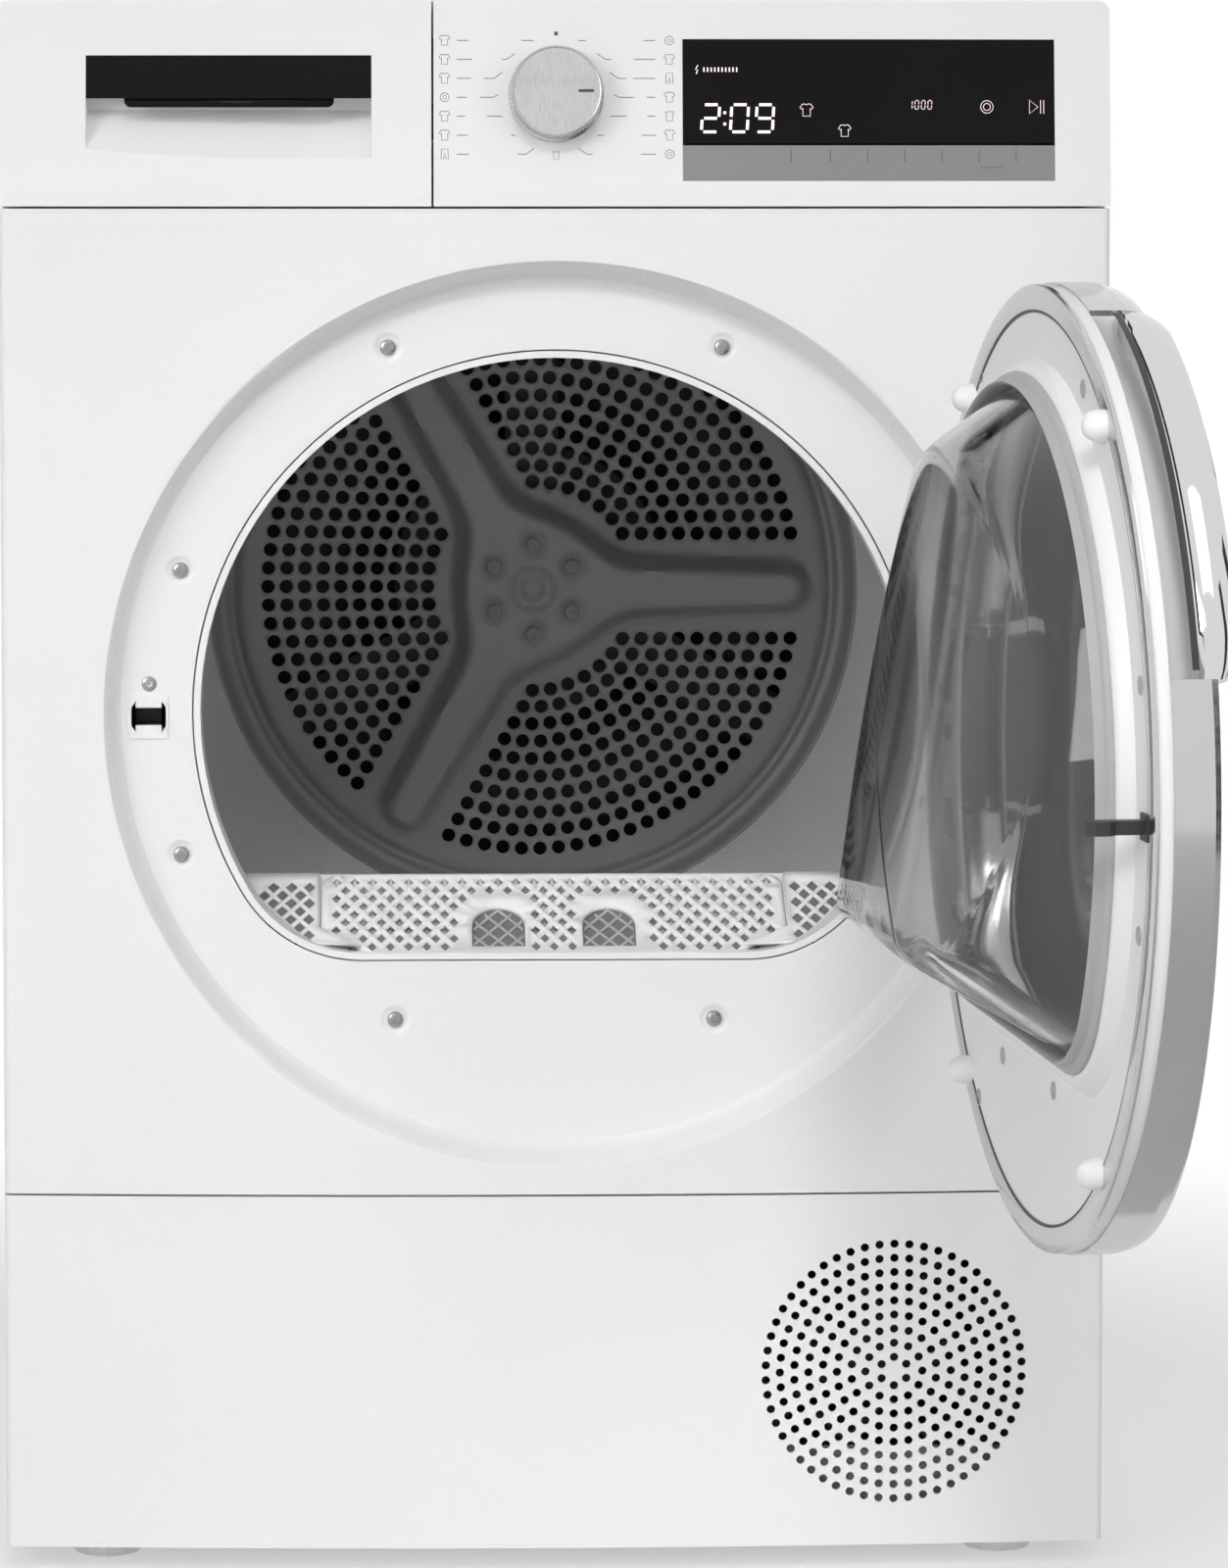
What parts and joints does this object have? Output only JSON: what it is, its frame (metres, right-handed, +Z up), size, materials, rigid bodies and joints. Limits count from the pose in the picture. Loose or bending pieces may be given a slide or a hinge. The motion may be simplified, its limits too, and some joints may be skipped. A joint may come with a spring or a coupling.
{
  "type": "clothes dryer",
  "caption": "Free-standing front-loading heat-pump clothes dryer with a round door on the right, a drum, a lint filter, a water drawer and a program knob.",
  "frame": {"origin": "on the floor, under the middle of the cabinet", "axes": "+X to the right of someone who faces the front, +Y to the rear, +Z up"},
  "size_m": [0.595, 1.0685, 0.85],
  "materials": {
    "white_enamel": "gloss enamel",
    "galvanised_steel": "zinc coated",
    "white_plastic": "moulded, satin gloss",
    "black_gloss": "gloss",
    "black_plastic": "moulded",
    "grey_plastic": "moulded",
    "chrome": "bright",
    "bowl_plastic": "smooth",
    "grey_rubber": "matt",
    "felt": "felt",
    "filter_fabric": "fine mesh",
    "drum_steel": "stainless",
    "cast_black": "satin",
    "fin_aluminium": "bare",
    "copper_tube": "bare copper"
  },
  "bodies": {
    "cabinet": {"side_panel_left": "white_enamel", "side_panel_right": "white_enamel", "worktop": "white_plastic", "rear_panel": "galvanised_steel", "rear_bearing_cover": "galvanised_steel", "cable_gland": "black_plastic", "front_panel": "white_enamel", "lower_front_panel": "white_enamel", "control_fascia": "white_plastic", "display_window": "black_gloss", "touch_strip": "black_gloss", "control_board": "grey_plastic", "tank_guide": "grey_plastic", "door_latch": "black_plastic", "hinge_bracket": "galvanised_steel", "front_bulkhead": "white_plastic", "front_drum_seal": "felt", "rear_bulkhead": "grey_plastic", "rear_drum_seal": "felt", "rear_bearing": "grey_plastic", "roller_axles": "galvanised_steel", "drum_belt": "grey_rubber", "motor_body": "cast_black", "blower_housing": "grey_plastic", "fan_shroud": "black_plastic", "base_tray": "grey_plastic", "evaporator_coil": "fin_aluminium", "condenser_coil": "fin_aluminium", "air_duct_cover": "grey_plastic", "compressor": "cast_black", "refrigerant_pipes": "copper_tube"},
    "door": {"door_ring": "chrome", "door_handle": "chrome", "door_inner_panel": "white_plastic", "door_gasket": "grey_rubber", "door_bowl": "bowl_plastic", "door_window": "black_gloss", "door_hook": "black_plastic", "door_buffers": "black_plastic", "door_hinge_leaf": "galvanised_steel"},
    "drum": {"drum_shell": "drum_steel", "drum_rear_wall": "drum_steel", "drum_shaft": "galvanised_steel", "drum_lifters": "drum_steel"},
    "program_knob": {"program_knob": "white_plastic", "knob_insert": "black_plastic"},
    "water_drawer": {"drawer_front": "white_plastic", "drawer_label_strip": "black_gloss", "water_tank": "grey_plastic"},
    "lint_filter": {"filter_cover": "white_plastic", "filter_mesh": "filter_fabric"},
    "roller_left": {"roller_left": "grey_plastic"},
    "roller_right": {"roller_right": "grey_plastic"},
    "motor_rotor": {"motor_shaft": "galvanised_steel", "blower_wheel": "black_plastic"},
    "cooling_fan": {"cooling_fan": "black_plastic"},
    "foot_front_left": {"foot_front_left": "galvanised_steel"},
    "foot_front_right": {"foot_front_right": "galvanised_steel"},
    "foot_rear_left": {"foot_rear_left": "galvanised_steel"},
    "foot_rear_right": {"foot_rear_right": "galvanised_steel"}
  },
  "joints": [
    {"name": "door_hinge", "type": "hinge", "parent": "cabinet", "child": "door", "pos_m": [0.224, -0.308, 0.467], "axis": [0, 0, 1], "range_deg": [-96.3, 13.7]},
    {"name": "knob_turn", "type": "hinge", "parent": "cabinet", "child": "program_knob", "pos_m": [0, -0.29297, 0.7995], "axis": [0, -0.9931, 0.1174], "continuous": true},
    {"name": "drawer_slide", "type": "slide", "parent": "cabinet", "child": "water_drawer", "axis": [0, -1, 0], "range_m": [0, 0.45]},
    {"name": "filter_lift", "type": "slide", "parent": "cabinet", "child": "lint_filter", "axis": [0, 0, 1], "range_m": [0, 0.17]},
    {"name": "drum_spin", "type": "hinge", "parent": "cabinet", "child": "drum", "pos_m": [0, 0, 0.4925], "axis": [0, 1, 0], "continuous": true},
    {"name": "roller_left_spin", "type": "hinge", "parent": "cabinet", "child": "roller_left", "pos_m": [-0.19055, -0.22, 0.24861], "axis": [0, 1, 0], "continuous": true},
    {"name": "roller_right_spin", "type": "hinge", "parent": "cabinet", "child": "roller_right", "pos_m": [0.19055, -0.22, 0.24861], "axis": [0, 1, 0], "continuous": true},
    {"name": "motor_spin", "type": "hinge", "parent": "cabinet", "child": "motor_rotor", "pos_m": [0.195, 0, 0.118], "axis": [0, 1, 0], "continuous": true},
    {"name": "fan_spin", "type": "hinge", "parent": "cabinet", "child": "cooling_fan", "pos_m": [0.1832, -0.24, 0.11], "axis": [0, 1, 0], "continuous": true},
    {"name": "foot_front_left_screw", "type": "slide", "parent": "cabinet", "child": "foot_front_left", "axis": [0, 0, -1], "range_m": [0, 0.012]},
    {"name": "foot_front_right_screw", "type": "slide", "parent": "cabinet", "child": "foot_front_right", "axis": [0, 0, -1], "range_m": [0, 0.012]},
    {"name": "foot_rear_left_screw", "type": "slide", "parent": "cabinet", "child": "foot_rear_left", "axis": [0, 0, -1], "range_m": [0, 0.012]},
    {"name": "foot_rear_right_screw", "type": "slide", "parent": "cabinet", "child": "foot_rear_right", "axis": [0, 0, -1], "range_m": [0, 0.012]}
  ],
  "couplings": [
    {"joint": "roller_left_spin", "follows": "drum_spin", "ratio": -11.368},
    {"joint": "roller_right_spin", "follows": "drum_spin", "ratio": -11.368},
    {"joint": "motor_spin", "follows": "drum_spin", "ratio": 21.015}
  ]
}
